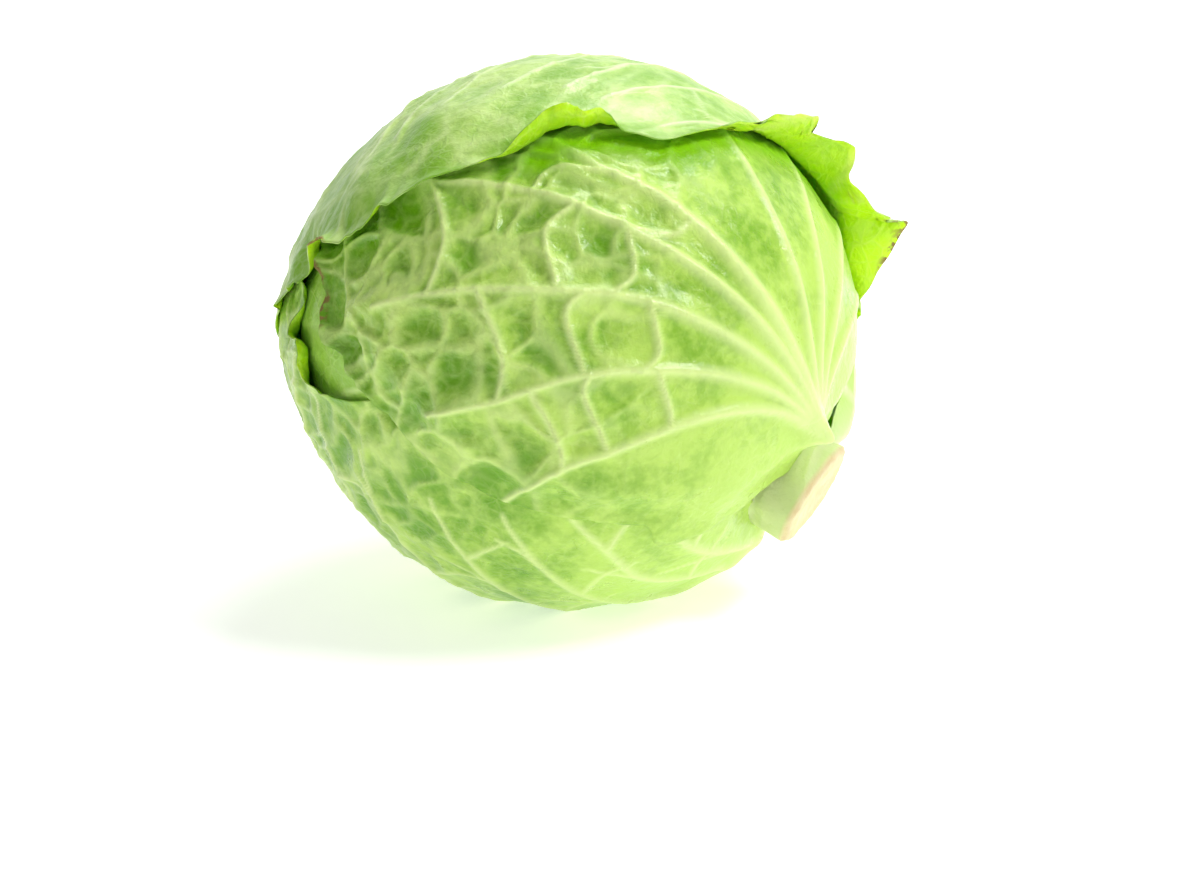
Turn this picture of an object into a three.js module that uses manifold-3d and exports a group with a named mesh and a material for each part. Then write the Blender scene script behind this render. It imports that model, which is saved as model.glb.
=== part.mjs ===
// A white cabbage head, lying on its side on a small flat spot, as picked and trimmed for sale.
// The cut stalk points to the right, to the front and down. Thirteen broad leaves spring
// from it and wrap round a tight heart, each one cupped over the next. Millimetres, +Z up; the
// origin is the middle of the flat spot that the head rests on.
import * as THREE from "three";
import { mergeVertices } from "three/addons/utils/BufferGeometryUtils.js";
import Module from "manifold-3d";

// Driving dimensions
const HEAD_RADIUS = 90; // outside of the outermost leaf
const CENTRE_HEIGHT = 82; // middle of the head above the surface
const LEAF_THICKNESS = 0.9;
const WRAPPER_PITCH = 2; // radial step from one outer leaf to the next
const INNER_PITCH = 2.6; // the same, for the leaves under them
const FLATTENING_LOSS = 0.35; // how much less each leaf is flattened than the one outside it
const STALK_AZIMUTH = -24; // degrees; the stalk's heading, seen from above, from +X
const STALK_DROP = 27; // degrees below the horizontal
const STALK_RADIUS = 18;
const STALK_REACH = 94; // cut face, from the middle of the head
const CORE_START = 8; // tip of the core inside the heart, from the middle of the head
const CLEARANCE = 0.4; // between pieces that touch
const SPIRAL_STEP = 137.5; // degrees round the stalk from one leaf to the next

const rad = THREE.MathUtils.degToRad;
const wasm = await Module();
wasm.setup();

// The stalk's axis, the direction round it that points up, and the one that faces the front.
const stalkAxis = new THREE.Vector3(1, 0, 0).applyEuler(
  new THREE.Euler(0, rad(STALK_DROP), rad(STALK_AZIMUTH), "ZYX"),
);
const upSide = new THREE.Vector3(0, 0, 1).projectOnPlane(stalkAxis).normalize();
const frontSide = new THREE.Vector3().crossVectors(stalkAxis, upSide);

// A direction from the middle of the head: polar angle from the stalk, azimuth round it from the top.
function direction(polar, azimuth) {
  return new THREE.Vector3()
    .addScaledVector(stalkAxis, Math.cos(rad(polar)))
    .addScaledVector(upSide, Math.sin(rad(polar)) * Math.cos(rad(azimuth)))
    .addScaledVector(frontSide, Math.sin(rad(polar)) * Math.sin(rad(azimuth)));
}

// Smooth line through [x, value] pairs, level beyond its ends.
function along(pairs, x) {
  const last = pairs.length - 1;
  if (x <= pairs[0][0]) return pairs[0][1];
  if (x >= pairs[last][0]) return pairs[last][1];
  const next = pairs.findIndex(([start]) => start > x);
  const [x0, y0] = pairs[next - 1];
  const [x1, y1] = pairs[next];
  return THREE.MathUtils.lerp(y0, y1, THREE.MathUtils.smoothstep(x, x0, x1));
}

// A square of half-width 1 drawn round into a disc of radius 1, with even cells.
function squareToDisc(x, y) {
  const radius = Math.max(Math.abs(x), Math.abs(y));
  if (radius === 0) return [0, 0];
  const angle =
    Math.abs(x) >= Math.abs(y)
      ? (Math.PI / 4) * (y / x) + (x < 0 ? Math.PI : 0)
      : Math.PI / 2 - (Math.PI / 4) * (x / y) + (y < 0 ? Math.PI : 0);
  return [radius * Math.cos(angle), radius * Math.sin(angle)];
}

// How far the outer face of a leaf lies from the middle of the head. The flat spot cuts it off at
// the leaf's own floor, and a leaf's swells lift it off the leaves below.
function leafReach(leaf, heading, a, b) {
  let reach = HEAD_RADIUS - leaf.inset;
  for (const swell of leaf.swells ?? []) {
    const away = Math.hypot(a - swell.a, b - swell.b) / swell.spread;
    reach += swell.lift * Math.exp(-away * away);
  }
  const floorReach = (CENTRE_HEIGHT - leaf.floor) / Math.max(-heading.z, 1e-6);
  return Math.min(reach, floorReach);
}

// A thin square slab, one cell deep. Its two faces have the same pattern of triangles, so that they
// stay apart however far the slab is bent. Points are [x, y, depth]: x and y from -1 to 1, depth 0 or 1.
function slab(cells) {
  const side = cells + 1;
  const under = side * side;
  const at = (i, j) => i * side + j;
  const points = [];
  for (const depth of [0, 1]) {
    for (let i = 0; i <= cells; i++) {
      for (let j = 0; j <= cells; j++) points.push([(2 * i) / cells - 1, (2 * j) / cells - 1, depth]);
    }
  }
  const triangles = [];
  for (let i = 0; i < cells; i++) {
    for (let j = 0; j < cells; j++) {
      const [a, b, c, d] = [at(i, j), at(i + 1, j), at(i + 1, j + 1), at(i, j + 1)];
      triangles.push(a, b, c, a, c, d);
      triangles.push(under + a, under + c, under + b, under + a, under + d, under + c);
    }
  }
  for (let k = 0; k < cells; k++) {
    const rim = [
      [at(k, 0), at(k + 1, 0)],
      [at(cells, k), at(cells, k + 1)],
      [at(k + 1, cells), at(k, cells)],
      [at(0, k + 1), at(0, k)],
    ];
    for (const [a, b] of rim) triangles.push(under + a, under + b, b, under + a, b, a);
  }
  return { points, triangles };
}

// A slab bent over the head: a runs up the leaf from its middle, b across it, both in degrees of arc.
function leafGeometry(leaf) {
  const middle = direction(leaf.polar, leaf.azimuth);
  const upLeaf = direction(leaf.polar + 90, leaf.azimuth);
  const acrossLeaf = new THREE.Vector3().crossVectors(middle, upLeaf);
  const { points, triangles } = slab(leaf.cells);
  const halfLength = (leaf.tip - leaf.base) / 2;
  const positions = points.flatMap(([slabX, slabY, depth]) => {
    const [x, y] = squareToDisc(slabX, slabY);
    const a = leaf.base + halfLength * (1 + x);
    const b = y * along(y > 0 ? leaf.forward : leaf.rearward, x);
    const arc = rad(Math.hypot(a, b));
    const turn = Math.atan2(b, a);
    const heading = new THREE.Vector3()
      .addScaledVector(middle, Math.cos(arc))
      .addScaledVector(upLeaf, Math.sin(arc) * Math.cos(turn))
      .addScaledVector(acrossLeaf, Math.sin(arc) * Math.sin(turn));
    const reach = leafReach(leaf, heading, a, b) - depth * LEAF_THICKNESS;
    const point = heading.multiplyScalar(reach);
    return [point.x, point.y, point.z + CENTRE_HEIGHT];
  });
  const geometry = new THREE.BufferGeometry();
  geometry.setAttribute("position", new THREE.Float32BufferAttribute(positions, 3));
  geometry.setIndex(triangles);
  return geometry;
}

function toSolid(geometry) {
  const bare = geometry.clone();
  bare.deleteAttribute("normal");
  bare.deleteAttribute("uv");
  const merged = mergeVertices(bare, 1e-3);
  return new wasm.Manifold(
    new wasm.Mesh({
      numProp: 3,
      vertProperties: merged.attributes.position.array,
      triVerts: new Uint32Array(merged.index.array),
    }),
  );
}

function toGeometry(solid) {
  const { vertProperties, triVerts } = solid.getMesh();
  const geometry = new THREE.BufferGeometry();
  geometry.setAttribute("position", new THREE.BufferAttribute(vertProperties, 3));
  geometry.setIndex(new THREE.BufferAttribute(triVerts, 1));
  return geometry;
}

// A solid turned about the stalk's axis; the profile is [radius, distance from the head's middle].
function turnedOnStalk(profile, sides) {
  const points = profile.map(([radius, distance]) => new THREE.Vector2(radius, distance));
  const geometry = new THREE.LatheGeometry(points, sides);
  const turn = new THREE.Quaternion().setFromUnitVectors(new THREE.Vector3(0, 1, 0), stalkAxis);
  geometry.applyQuaternion(turn);
  geometry.translate(0, 0, CENTRE_HEIGHT);
  return geometry;
}

// Core and stalk in one piece: a blunt cone in the heart, a straight shank through the leaf bases,
// and a stub that the knife has cut off square. Extra is added all round for the leaves' clearance.
function stalkProfile(extra) {
  return [
    [0, CORE_START - extra],
    [7 + extra, CORE_START + 4 - extra],
    [12 + extra, 34],
    [STALK_RADIUS - 3 + extra, 56],
    [STALK_RADIUS + extra, 66],
    [STALK_RADIUS + extra, STALK_REACH - 2],
    [STALK_RADIUS - 1.5 + extra, STALK_REACH + extra],
    [0, STALK_REACH + extra],
  ];
}

const STALK_SIDES = 24;
const stalkSolidWithClearance = toSolid(
  turnedOnStalk(stalkProfile(CLEARANCE), STALK_SIDES),
);

// The four wrapper leaves, from the outermost in. Forward and rearward give the leaf's half-width
// on its two sides, in degrees, from its base at -1 to its tip at 1.
const wrappers = [
  {
    name: "top_wrapper_leaf",
    polar: 92,
    azimuth: -66,
    base: -82,
    tip: 126,
    forward: [[-1, 15], [-0.75, 15], [-0.5, 40], [-0.25, 90], [0.25, 105], [1, 120]],
    rearward: [[-1, 25], [-0.6, 30], [-0.3, 42], [0, 50], [0.5, 58], [1, 80]],
    swells: [
      { a: -28, b: 36, spread: 15, lift: 13 },
      { a: -40, b: 27, spread: 10, lift: 8 },
    ],
    cells: 30,
  },
  {
    name: "front_leaf",
    polar: 80,
    azimuth: 22,
    base: -70,
    tip: 80,
    forward: [[-1, 130], [-0.75, 80], [0.5, 80], [1, 72]],
    rearward: [[-1, 130], [-0.75, 90], [0, 76], [1, 70]],
    cells: 18,
  },
  {
    name: "under_leaf",
    polar: 85,
    azimuth: 172,
    base: -73,
    tip: 88,
    forward: [[-1, 150], [-0.7, 90], [0, 62], [1, 60]],
    rearward: [[-1, 150], [-0.7, 98], [0, 82], [0.5, 70], [1, 80]],
    swells: [{ a: 60, b: -48, spread: 15, lift: 3 }],
    cells: 18,
  },
  {
    name: "back_leaf",
    polar: 86,
    azimuth: -104,
    base: -74,
    tip: 76,
    forward: [[-1, 150], [-0.7, 90], [0, 72], [1, 66]],
    rearward: [[-1, 150], [-0.7, 90], [0, 70], [1, 66]],
    cells: 18,
  },
];
wrappers.forEach((leaf, order) => {
  leaf.inset = order * WRAPPER_PITCH;
  leaf.colour = 0xb4d878;
});

// The leaves under them, each a golden-angle turn further round the stalk.
const INNER_LEAVES = 9;
const FIRST_INNER_AZIMUTH = 85;
const UNDER_LEAF_ORDER = 2; // the leaf that lies on the surface
const INNER_HALF_WIDTH = [[-1, 150], [-0.7, 92], [0, 74], [1, 70]];
const innerLeaves = Array.from({ length: INNER_LEAVES }, (_, order) => ({
  name: `inner_leaf_${String(order + 1).padStart(2, "0")}`,
  polar: 88,
  azimuth: FIRST_INNER_AZIMUTH + order * SPIRAL_STEP,
  base: -75,
  tip: 84,
  forward: INNER_HALF_WIDTH,
  rearward: INNER_HALF_WIDTH,
  inset: (wrappers.length - 1) * WRAPPER_PITCH + (order + 1) * INNER_PITCH,
  cells: 14,
  colour: new THREE.Color(0xcbe695).lerp(new THREE.Color(0xf4efb4), order / INNER_LEAVES),
}));

const allLeaves = [...wrappers, ...innerLeaves];
const restingInset = wrappers[UNDER_LEAF_ORDER].inset;
allLeaves.forEach((leaf, order) => {
  const layersUp = Math.max(0, order - UNDER_LEAF_ORDER);
  leaf.floor = Math.max(0, leaf.inset - restingInset - layersUp * FLATTENING_LOSS);
});

// The heart: the innermost leaves, folded so tightly into each other that they part only in pieces.
// It sits on the core, which fills a pocket in it.
const HEART_STEPS = 16;
const heartRadius = HEAD_RADIUS - allLeaves.at(-1).inset - INNER_PITCH;
const heartProfile = Array.from({ length: HEART_STEPS + 1 }, (_, i) => {
  const angle = (Math.PI * i) / HEART_STEPS;
  const onAxis = i === 0 || i === HEART_STEPS;
  return [onAxis ? 0 : heartRadius * Math.sin(angle), -heartRadius * Math.cos(angle)];
});

const leafMaterial = (colour) =>
  new THREE.MeshStandardMaterial({ color: colour, roughness: 0.42, metalness: 0 });

const cabbage = new THREE.Group();

for (const leaf of allLeaves) {
  const solid = toSolid(leafGeometry(leaf)).subtract(stalkSolidWithClearance);
  const mesh = new THREE.Mesh(toGeometry(solid), leafMaterial(leaf.colour));
  mesh.name = leaf.name;
  cabbage.add(mesh);
}

const heartSolid = toSolid(turnedOnStalk(heartProfile, STALK_SIDES));
const heart = new THREE.Mesh(
  toGeometry(heartSolid.subtract(stalkSolidWithClearance)),
  new THREE.MeshStandardMaterial({ color: 0xf3eda6, roughness: 0.5, metalness: 0 }),
);
heart.name = "heart";
cabbage.add(heart);

const stalk = new THREE.Mesh(
  turnedOnStalk(stalkProfile(0), STALK_SIDES),
  new THREE.MeshStandardMaterial({ color: 0xf3e8cb, roughness: 0.6, metalness: 0 }),
);
stalk.name = "stalk";
cabbage.add(stalk);

export default cabbage;
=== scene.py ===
import math

import bpy
import numpy as np
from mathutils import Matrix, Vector
from mathutils.bvhtree import BVHTree


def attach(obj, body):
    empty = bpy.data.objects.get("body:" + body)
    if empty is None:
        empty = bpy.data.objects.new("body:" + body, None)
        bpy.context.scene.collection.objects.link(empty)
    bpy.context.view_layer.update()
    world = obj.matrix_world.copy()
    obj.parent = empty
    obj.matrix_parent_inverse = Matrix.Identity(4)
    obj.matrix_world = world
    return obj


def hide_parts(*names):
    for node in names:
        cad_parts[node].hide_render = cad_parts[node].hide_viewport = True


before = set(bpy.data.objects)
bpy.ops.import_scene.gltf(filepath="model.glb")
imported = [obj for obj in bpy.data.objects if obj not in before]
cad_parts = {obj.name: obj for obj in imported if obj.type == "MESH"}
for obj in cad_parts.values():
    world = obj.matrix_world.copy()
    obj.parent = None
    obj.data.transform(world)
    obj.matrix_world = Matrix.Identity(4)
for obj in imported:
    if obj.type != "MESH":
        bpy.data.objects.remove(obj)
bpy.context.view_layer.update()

# ---------------------------------------------------------------------------------------------
# Stalk. Core and cut stalk in one piece: a blunt cone of pale pith in the heart, a ribbed shank
# that the leaves spring from, and a stub that the knife has cut off square. Old leaf scars ring
# the shank, and the cut face has dried a little round its rim.
# ---------------------------------------------------------------------------------------------
MM = 0.001
HEAD_RADIUS = 90.0
MIDDLE_HEIGHT = 82.0
STALK_HEADING = math.radians(-24)
STALK_DROP = math.radians(27)
STALK_RADIUS = 17.6
STALK_REACH = 94.0
CORE_START = 8.0
STALK_SIDES = 132
STALK_STEP = 1.1

stalk_axis = np.array([
    math.cos(STALK_DROP) * math.cos(STALK_HEADING),
    math.cos(STALK_DROP) * math.sin(STALK_HEADING),
    -math.sin(STALK_DROP),
])
up_side = np.array([0.0, 0.0, 1.0]) - stalk_axis[2] * stalk_axis
up_side /= np.linalg.norm(up_side)
front_side = np.cross(stalk_axis, up_side)
middle = np.array([0.0, 0.0, MIDDLE_HEIGHT])


def direction(polar, azimuth):
    """Heading from the middle of the head: degrees from the stalk, then degrees round it from the top."""
    polar, azimuth = np.radians(polar)[..., None], np.radians(azimuth)[..., None]
    ring = np.cos(azimuth) * up_side + np.sin(azimuth) * front_side
    return np.cos(polar) * stalk_axis + np.sin(polar) * ring


def smoothstep(low, high, value):
    step = np.clip((value - low) / (high - low), 0, 1)
    return step * step * (3 - 2 * step)


def along(pairs, x):
    """Smooth line through (x, value) pairs, level beyond its ends."""
    places, values = np.array(pairs, float).T
    after = np.clip(np.searchsorted(places, x, side="right"), 1, len(places) - 1)
    step = smoothstep(places[after - 1], places[after], x)
    return values[after - 1] + (values[after] - values[after - 1]) * step


def rumple(places, size, seed):
    """Smooth random hills and hollows between -1 and 1, each about size across."""
    table = np.random.default_rng(seed).uniform(-1, 1, (32, 32, 32))
    scaled = places / size
    corner = np.floor(scaled).astype(int)
    part = scaled - corner
    part = part * part * (3 - 2 * part)
    total = 0
    for dx in (0, 1):
        for dy in (0, 1):
            for dz in (0, 1):
                weight = (
                    (part[..., 0] if dx else 1 - part[..., 0])
                    * (part[..., 1] if dy else 1 - part[..., 1])
                    * (part[..., 2] if dz else 1 - part[..., 2])
                )
                x, y, z = (corner + (dx, dy, dz)).T % 32
                total = total + weight * table[x, y, z].T
    return total


def make_piece(name, points, faces, layers, insides=None):
    """A smooth mesh piece from points in millimetres, with a number per point for each layer."""
    mesh = bpy.data.meshes.new(name)
    mesh.from_pydata((points * MM).tolist(), [], faces)
    mesh.shade_smooth()
    for layer, values in layers.items():
        attribute = mesh.attributes.new(layer, "FLOAT", "POINT")
        attribute.data.foreach_set("value", np.asarray(values, np.float32).ravel())
    if insides is not None:
        mesh.polygons.foreach_set("material_index", insides.astype(np.int32))
    mesh.update()
    piece = bpy.data.objects.new(name, mesh)
    bpy.context.scene.collection.objects.link(piece)
    return piece


def turned_faces(rows, sides):
    """Quads of a turned skin whose first and last rows are closed by a fan round one point each."""
    ring = np.arange(sides)
    after = (ring + 1) % sides
    quads = []
    for row in range(rows - 1):
        low, high = row * sides, (row + 1) * sides
        quads.append(np.stack([low + ring, low + after, high + after, high + ring], 1))
    first, last = rows * sides, rows * sides + 1
    end = (rows - 1) * sides
    fans = [np.stack([np.full(sides, first), after, ring], 1)]
    fans.append(np.stack([np.full(sides, last), end + ring, end + after], 1))
    return np.concatenate(quads), np.concatenate(fans)


def turned_piece(name, profile, relief, sides, layers):
    """Turns a profile of (radius, distance) rows round the stalk's axis; relief moves the points after."""
    profile = np.array(profile, float)
    around = np.arange(sides) * 2 * math.pi / sides
    radius, distance = profile[1:-1, 0][:, None], profile[1:-1, 1][:, None]
    turn = np.cos(around)[:, None] * up_side + np.sin(around)[:, None] * front_side
    rows = radius[..., None] * turn + distance[..., None] * stalk_axis
    ends = profile[[0, -1], 1][:, None] * stalk_axis
    points = np.concatenate([rows.reshape(-1, 3), ends])
    points = relief(points)
    quads, fans = turned_faces(len(profile) - 2, sides)
    return make_piece(name, points + middle, quads.tolist() + fans.tolist(), layers(points))


def finely(profile, step):
    """The same profile with points no further apart than step."""
    rows = [profile[0]]
    for start, end in zip(profile, profile[1:]):
        pieces = max(1, math.ceil(math.dist(start, end) / step))
        for part in range(1, pieces + 1):
            share = part / pieces
            rows.append((start[0] + (end[0] - start[0]) * share, start[1] + (end[1] - start[1]) * share))
    return rows


def stalk_relief(points):
    """Long ribs on the shank, leaf scars as low shelves round it, and a slightly dished, fibrous cut."""
    distance = points @ stalk_axis
    flat = points - distance[:, None] * stalk_axis
    radius = np.linalg.norm(flat, axis=1)
    outward = flat / np.maximum(radius, 1e-6)[:, None]
    around = np.arctan2(flat @ front_side, flat @ up_side)
    ribs = 0.35 * np.sin(around * 9 + distance * 0.12) + 0.5 * rumple(points, 6.0, 11)
    scars = np.zeros(len(points))
    for turn in range(6):
        centre = math.radians(137.5 * turn + 30)
        height = 64 + turn * 4.6
        off = np.angle(np.exp(1j * (around - centre)))
        sag = height + 3.5 * off**2
        scars += 0.9 * np.exp(-(((distance - sag) / 0.9) ** 2)) * smoothstep(1.25, 0.8, abs(off))
        scars -= 0.6 * np.exp(-(((distance - sag - 2.2) / 1.4) ** 2)) * smoothstep(1.1, 0.6, abs(off))
    on_shank = smoothstep(50, 60, distance) * smoothstep(10, 14, radius)
    moved = points + outward * ((ribs * 0.6 + scars) * on_shank)[:, None]
    on_cut = smoothstep(STALK_REACH - 0.7, STALK_REACH - 0.2, distance)
    dish = -1.2 * smoothstep(14, 2, radius) + 0.25 * rumple(points, 1.6, 12) + 0.2 * rumple(points, 5, 13)
    vessels = 0.5 * np.exp(-(((radius - 12.6) / 1.3) ** 2))
    return moved + stalk_axis * ((dish + vessels) * on_cut)[:, None]


def stalk_layers(points):
    distance = points @ stalk_axis
    radius = np.linalg.norm(points - distance[:, None] * stalk_axis, axis=1)
    cut = smoothstep(STALK_REACH - 2.2, STALK_REACH - 0.8, distance)
    vessels = np.exp(-(((radius - 12.6 - 0.7 * rumple(points, 4, 15)) / 1.5) ** 2)) * cut
    dry = smoothstep(14.2, 16.6, radius + 0.9 * rumple(points, 3, 14)) * cut
    return {"cut": cut, "vessels": vessels, "dry": dry}


def tint(code):
    """Linear colour from a six-figure colour code."""
    parts = [int(code[i : i + 2], 16) / 255 for i in (0, 2, 4)]
    return tuple(p / 12.92 if p <= 0.04045 else ((p + 0.055) / 1.055) ** 2.4 for p in parts) + (1.0,)


class Recipe:
    """A material's node tree, with short ways to lay and join nodes."""

    def __init__(self, name):
        self.material = bpy.data.materials.new(name)
        self.material.use_nodes = True
        self.nodes = self.material.node_tree.nodes
        self.links = self.material.node_tree.links
        self.skin = self.nodes["Principled BSDF"]
        self.place = self.nodes.new("ShaderNodeTexCoord").outputs["Object"]

    def feed(self, socket, value):
        if isinstance(value, bpy.types.NodeSocket):
            self.links.new(value, socket)
        else:
            socket.default_value = value

    def layer(self, name):
        node = self.nodes.new("ShaderNodeAttribute")
        node.attribute_name = name
        return node.outputs["Fac"]

    def maths(self, operation, *values):
        node = self.nodes.new("ShaderNodeMath")
        node.operation = operation
        for socket, value in zip(node.inputs, values):
            self.feed(socket, value)
        return node.outputs[0]

    def fit(self, value, low, high, new_low=0.0, new_high=1.0):
        node = self.nodes.new("ShaderNodeMapRange")
        node.interpolation_type = "SMOOTHSTEP"
        for socket, number in zip(node.inputs, (value, low, high, new_low, new_high)):
            self.feed(socket, number)
        return node.outputs[0]

    def mix(self, amount, first, second):
        node = self.nodes.new("ShaderNodeMix")
        node.data_type = "RGBA"
        self.feed(node.inputs[0], amount)
        self.feed(node.inputs[6], first)
        self.feed(node.inputs[7], second)
        return node.outputs[2]

    def noise(self, size, detail=3.0, place=None):
        """Cloudy pattern; size is the width of one cloud in millimetres."""
        node = self.nodes.new("ShaderNodeTexNoise")
        self.feed(node.inputs["Vector"], place or self.place)
        node.inputs["Scale"].default_value = 1000 / size
        node.inputs["Detail"].default_value = detail
        return node.outputs["Fac"]

    def shaken(self, size, amount):
        """The place in the piece, shaken by a cloudy pattern so that what is drawn there isn't straight."""
        node = self.nodes.new("ShaderNodeTexNoise")
        self.feed(node.inputs["Vector"], self.place)
        node.inputs["Scale"].default_value = 1000 / size
        off = self.nodes.new("ShaderNodeVectorMath")
        off.operation = "MULTIPLY_ADD"
        self.feed(off.inputs[0], node.outputs["Color"])
        off.inputs[1].default_value = (amount * MM,) * 3
        self.feed(off.inputs[2], self.place)
        return off.outputs[0]

    def net(self, size, place):
        """Distance to the borders of a net of cells, from 0 at a border; size is a cell's width."""
        node = self.nodes.new("ShaderNodeTexVoronoi")
        node.feature = "DISTANCE_TO_EDGE"
        self.feed(node.inputs["Vector"], place)
        node.inputs["Scale"].default_value = 1000 / size
        return node.outputs["Distance"]

    def bump(self, height, depth, under=None):
        node = self.nodes.new("ShaderNodeBump")
        node.inputs["Strength"].default_value = 1.0
        node.inputs["Distance"].default_value = depth * MM
        self.feed(node.inputs["Height"], height)
        if under is not None:
            self.links.new(under, node.inputs["Normal"])
        return node.outputs[0]

    def glow(self, weight, reach, reds=(0.7, 1.0, 0.3)):
        self.skin.inputs["Subsurface Weight"].default_value = weight
        self.skin.inputs["Subsurface Scale"].default_value = reach * MM
        self.skin.inputs["Subsurface Radius"].default_value = reds


def stalk_material():
    """Moist cream pith with a greener ring of vessels and a browned rim; the shank is white-green."""
    recipe = Recipe("stalk flesh")
    clouds = recipe.noise(9)
    pith = recipe.mix(clouds, tint("e9deb4"), tint("dccf9c"))
    shank = recipe.mix(clouds, tint("dbe5ac"), tint("bfd283"))
    colour = recipe.mix(recipe.layer("cut"), shank, pith)
    colour = recipe.mix(recipe.maths("MULTIPLY", recipe.layer("vessels"), 0.55), colour, tint("d9d08d"))
    browned = recipe.maths("MULTIPLY", recipe.layer("dry"), recipe.fit(recipe.noise(7), 0.3, 0.75, 0.15, 0.6))
    colour = recipe.mix(browned, colour, tint("b9985f"))
    recipe.feed(recipe.skin.inputs["Base Color"], colour)
    recipe.feed(recipe.skin.inputs["Roughness"], recipe.fit(recipe.noise(4), 0.3, 0.7, 0.42, 0.62))
    fibres = recipe.bump(recipe.noise(1.2, 6), 0.35)
    recipe.feed(recipe.skin.inputs["Normal"], recipe.bump(recipe.noise(0.5), 0.1, fibres))
    recipe.glow(0.3, 3.0, (1.0, 0.8, 0.45))
    return recipe.material


stalk_profile = [
    (0, CORE_START),
    (4, CORE_START + 1),
    (7, CORE_START + 4),
    (12, 34),
    (15, 56),
    (STALK_RADIUS, 66),
    (STALK_RADIUS, STALK_REACH - 1.4),
    (STALK_RADIUS - 1.2, STALK_REACH - 0.3),
    (STALK_RADIUS - 2.2, STALK_REACH),
    (0, STALK_REACH),
]
stalk_profile = finely(stalk_profile, STALK_STEP)
stalk = turned_piece("stalk_flesh", stalk_profile, stalk_relief, STALK_SIDES, stalk_layers)
stalk.data.materials.append(stalk_material())
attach(stalk, "root")
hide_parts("stalk")

# ---------------------------------------------------------------------------------------------
# Heart. The innermost leaves, creamy yellow, folded so tightly round the core and each other that
# they part only in pieces. Their edges show as low overlapping steps, their ribs as soft ridges.
# ---------------------------------------------------------------------------------------------
HEART_RADIUS = 57.4
HEART_SIDES = 176
HEART_ROWS = 100
HEART_FOLDS = 7


def heart_relief(points):
    """Lays overlapping leaf edges, ribs and crumples on the outside of the ball."""
    length = np.linalg.norm(points, axis=1)
    heading = points / length[:, None]
    polar = np.degrees(np.arccos(np.clip(heading @ stalk_axis, -1, 1)))
    around = np.degrees(np.arctan2(heading @ front_side, heading @ up_side))
    steps = np.zeros(len(points))
    for fold in range(HEART_FOLDS):
        middle_of_fold = 137.5 * fold
        off = (around - middle_of_fold + 180) % 360 - 180
        edge = 68 - 0.0022 * (polar - 95) ** 2 + 5 * rumple(heading * 57, 13, 40 + fold)
        rib = np.exp(-((off * np.sin(np.radians(polar)) / 3.2) ** 2)) * smoothstep(150, 40, polar)
        cover = smoothstep(edge, edge - 3, abs(off)) * smoothstep(168, 140, polar)
        steps = np.where(cover > 0.02, steps * (1 - cover) + (0.55 + 0.7 * rib) * cover, steps)
    crumple = 0.5 * rumple(heading * 57, 9, 51) + 0.35 * abs(rumple(heading * 57, 4, 52))
    outside = smoothstep(HEART_RADIUS - 1.5, HEART_RADIUS - 0.5, length) * smoothstep(16, 20, polar)
    return points + heading * ((steps + crumple - 1.2) * outside)[:, None]


def heart_layers(points):
    heading = points / np.linalg.norm(points, axis=1)[:, None]
    return {"rib": smoothstep(0.35, 0.95, 1 - abs(rumple(heading * 57, 12, 53)))}


def heart_material():
    """Cream to butter yellow, blotched, with paler ribs."""
    recipe = Recipe("heart leaf")
    colour = recipe.mix(recipe.fit(recipe.noise(14), 0.35, 0.65), tint("efe48f"), tint("f7f2c6"))
    colour = recipe.mix(recipe.maths("MULTIPLY", recipe.layer("rib"), 0.5), colour, tint("f8f4d8"))
    recipe.feed(recipe.skin.inputs["Base Color"], colour)
    recipe.feed(recipe.skin.inputs["Roughness"], recipe.fit(recipe.noise(6), 0.3, 0.7, 0.38, 0.52))
    veins = recipe.fit(recipe.net(5, recipe.shaken(6, 3)), 0.0, 0.08, 1.0, 0.0)
    recipe.feed(recipe.skin.inputs["Normal"], recipe.bump(veins, 0.3, recipe.bump(recipe.noise(2), 0.25)))
    recipe.glow(0.3, 3.0, (1.0, 0.85, 0.35))
    return recipe.material


pocket = [(0, CORE_START - 0.6), (7.6, CORE_START + 3.4), (12.6, 34), (15.6, 55)]
mouth = math.asin(15.6 / HEART_RADIUS)
ball = [
    (HEART_RADIUS * math.sin(angle), HEART_RADIUS * math.cos(angle))
    for angle in np.linspace(mouth, math.pi, HEART_ROWS)
]
heart_profile = finely(pocket, 2.0) + ball[:-1] + [(0, -HEART_RADIUS)]
heart_profile.reverse()
heart = turned_piece("heart_folds", heart_profile, heart_relief, HEART_SIDES, heart_layers)
heart.data.materials.append(heart_material())
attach(heart, "root")
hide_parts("heart")

# ---------------------------------------------------------------------------------------------
# Inner leaves. Nine thin, pale yellow-green leaves, each a golden-angle turn further round the
# stalk than the one outside it, cupped over everything within. Each is one closed blade with
# ribs standing out of its outer face, laid from the innermost out.
# ---------------------------------------------------------------------------------------------
BLADE = 0.75
WRAPPER_PITCH = 2.0
INNER_PITCH = 2.6
INNER_COUNT = 9
FLATTENING_LOSS = 0.35
TOP_FLATTENING = 3.6
EDGE_SHADE = 4.5
SPIRAL_STEP = 137.5
DEGREE = math.radians(1) * HEAD_RADIUS
laid = []


def disc_grid(cells):
    """An even square grid of cells drawn round into a disc: radius from 0 to 1, and angle."""
    line = np.linspace(-1, 1, cells + 1)
    x, y = np.meshgrid(line, line, indexing="ij")
    radius = np.maximum(abs(x), abs(y))
    wide = abs(x) >= abs(y)
    safe_x, safe_y = np.where(x == 0, 1, x), np.where(y == 0, 1, y)
    sideways = math.pi / 4 * y / safe_x + math.pi * (x < 0)
    upright = math.pi / 2 - math.pi / 4 * x / safe_y + math.pi * (y < 0)
    return radius, np.where(wide, sideways, upright)


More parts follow.
